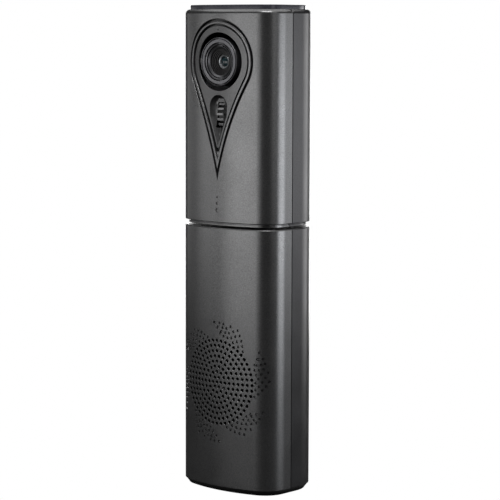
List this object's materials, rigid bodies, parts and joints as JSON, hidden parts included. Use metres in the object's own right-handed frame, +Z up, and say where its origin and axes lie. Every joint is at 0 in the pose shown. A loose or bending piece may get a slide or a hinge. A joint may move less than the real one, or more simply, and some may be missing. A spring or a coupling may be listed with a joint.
{
  "type": "conference camera tower",
  "caption": "Upright conference camera: a speaker unit with a perforated front, and a swivelling head with a tilting lens driven by a thumb wheel.",
  "frame": {"origin": "centre of the foot's underside", "axes": "+Z up, -Y towards the front that holds the lens, +X to the right when looking at the front"},
  "size_m": [0.0882, 0.0662, 0.34],
  "materials": {
    "graphite": "fine-grained satin, anodised graphite",
    "charcoal": "fine-grained satin, anodised charcoal",
    "cap": "smooth dark cap",
    "black_plastic": "matt black",
    "rubber": "matt black rubber",
    "steel": "plated",
    "pom": "natural acetal",
    "cloth": "black acoustic cloth",
    "cone_paper": "coated paper",
    "magnet": "ferrite and plate",
    "board": "solder mask",
    "glass": "coated glass",
    "lamp": "diffusing"
  },
  "bodies": {
    "base": {"foot_pad": "rubber", "base_plate": "steel", "lower_front_shell": "graphite", "lower_rear_shell": "charcoal", "top_deck": "black_plastic", "frame_post_1": "steel", "frame_post_2": "steel", "frame_post_3": "steel", "frame_post_4": "steel", "base_screw_1": "steel", "base_screw_2": "steel", "base_screw_3": "steel", "base_screw_4": "steel", "deck_screw_1": "steel", "deck_screw_2": "steel", "deck_screw_3": "steel", "deck_screw_4": "steel", "swivel_bush": "pom", "stop_pin": "steel", "grille_cloth": "cloth", "speaker_baffle": "black_plastic", "speaker_frame": "steel", "speaker_magnet": "magnet", "speaker_surround": "rubber", "main_board": "board", "port_panel": "black_plastic", "usb_socket": "steel", "audio_socket": "black_plastic", "power_socket": "black_plastic"},
    "head": {"upper_front_shell": "graphite", "upper_rear_shell": "charcoal", "top_cap": "cap", "head_floor": "black_plastic", "swivel_spigot": "steel", "swivel_nut": "steel", "spigot_screw_1": "steel", "spigot_screw_2": "steel", "spigot_screw_3": "steel", "bezel_carrier": "black_plastic", "teardrop_rim": "graphite", "lens_faceplate": "graphite", "light_sensor": "glass", "light_pipe": "lamp", "mic_board": "board", "camera_board": "board", "tilt_bracket": "steel", "idler_pin": "steel"},
    "lens": {"lens_housing": "graphite", "lens_barrel": "black_plastic", "front_glass": "glass", "sensor_block": "board", "tilt_sector": "pom"},
    "tilt_wheel": {"thumb_wheel": "black_plastic", "wheel_axle": "steel", "wheel_pinion": "pom"},
    "idler": {"idler_gear": "pom"},
    "cone": {"speaker_cone": "cone_paper"},
    "button": {"power_button": "black_plastic"}
  },
  "joints": [
    {"name": "head_swivel", "type": "hinge", "parent": "base", "child": "head", "pos_m": [0, 0, 0.1867], "axis": [0, 0, 1], "range_deg": [-135, 135]},
    {"name": "lens_tilt", "type": "hinge", "parent": "head", "child": "lens", "pos_m": [0, -0.0209, 0.3008], "axis": [1, 0, 0], "range_deg": [-15, 15]},
    {"name": "idler_turn", "type": "hinge", "parent": "head", "child": "idler", "pos_m": [0, -0.00278, 0.27689], "axis": [1, 0, 0], "range_deg": [-30.5, 30.5]},
    {"name": "wheel_turn", "type": "hinge", "parent": "head", "child": "tilt_wheel", "pos_m": [0, -0.01545, 0.2641], "axis": [1, 0, 0], "range_deg": [-38, 38]},
    {"name": "cone_travel", "type": "slide", "parent": "base", "child": "cone", "axis": [0, -1, 0], "range_m": [-0.001, 0.001], "stiffness_N_per_m": 1500, "deforming": ["speaker_surround"]},
    {"name": "power_press", "type": "slide", "parent": "base", "child": "button", "axis": [0, -1, 0], "range_m": [0, 0.0008], "stiffness_N_per_m": 800, "springref_m": -0.0004}
  ],
  "couplings": [
    {"joint": "idler_turn", "follows": "lens_tilt", "ratio": -2},
    {"joint": "wheel_turn", "follows": "lens_tilt", "ratio": 2.5}
  ]
}
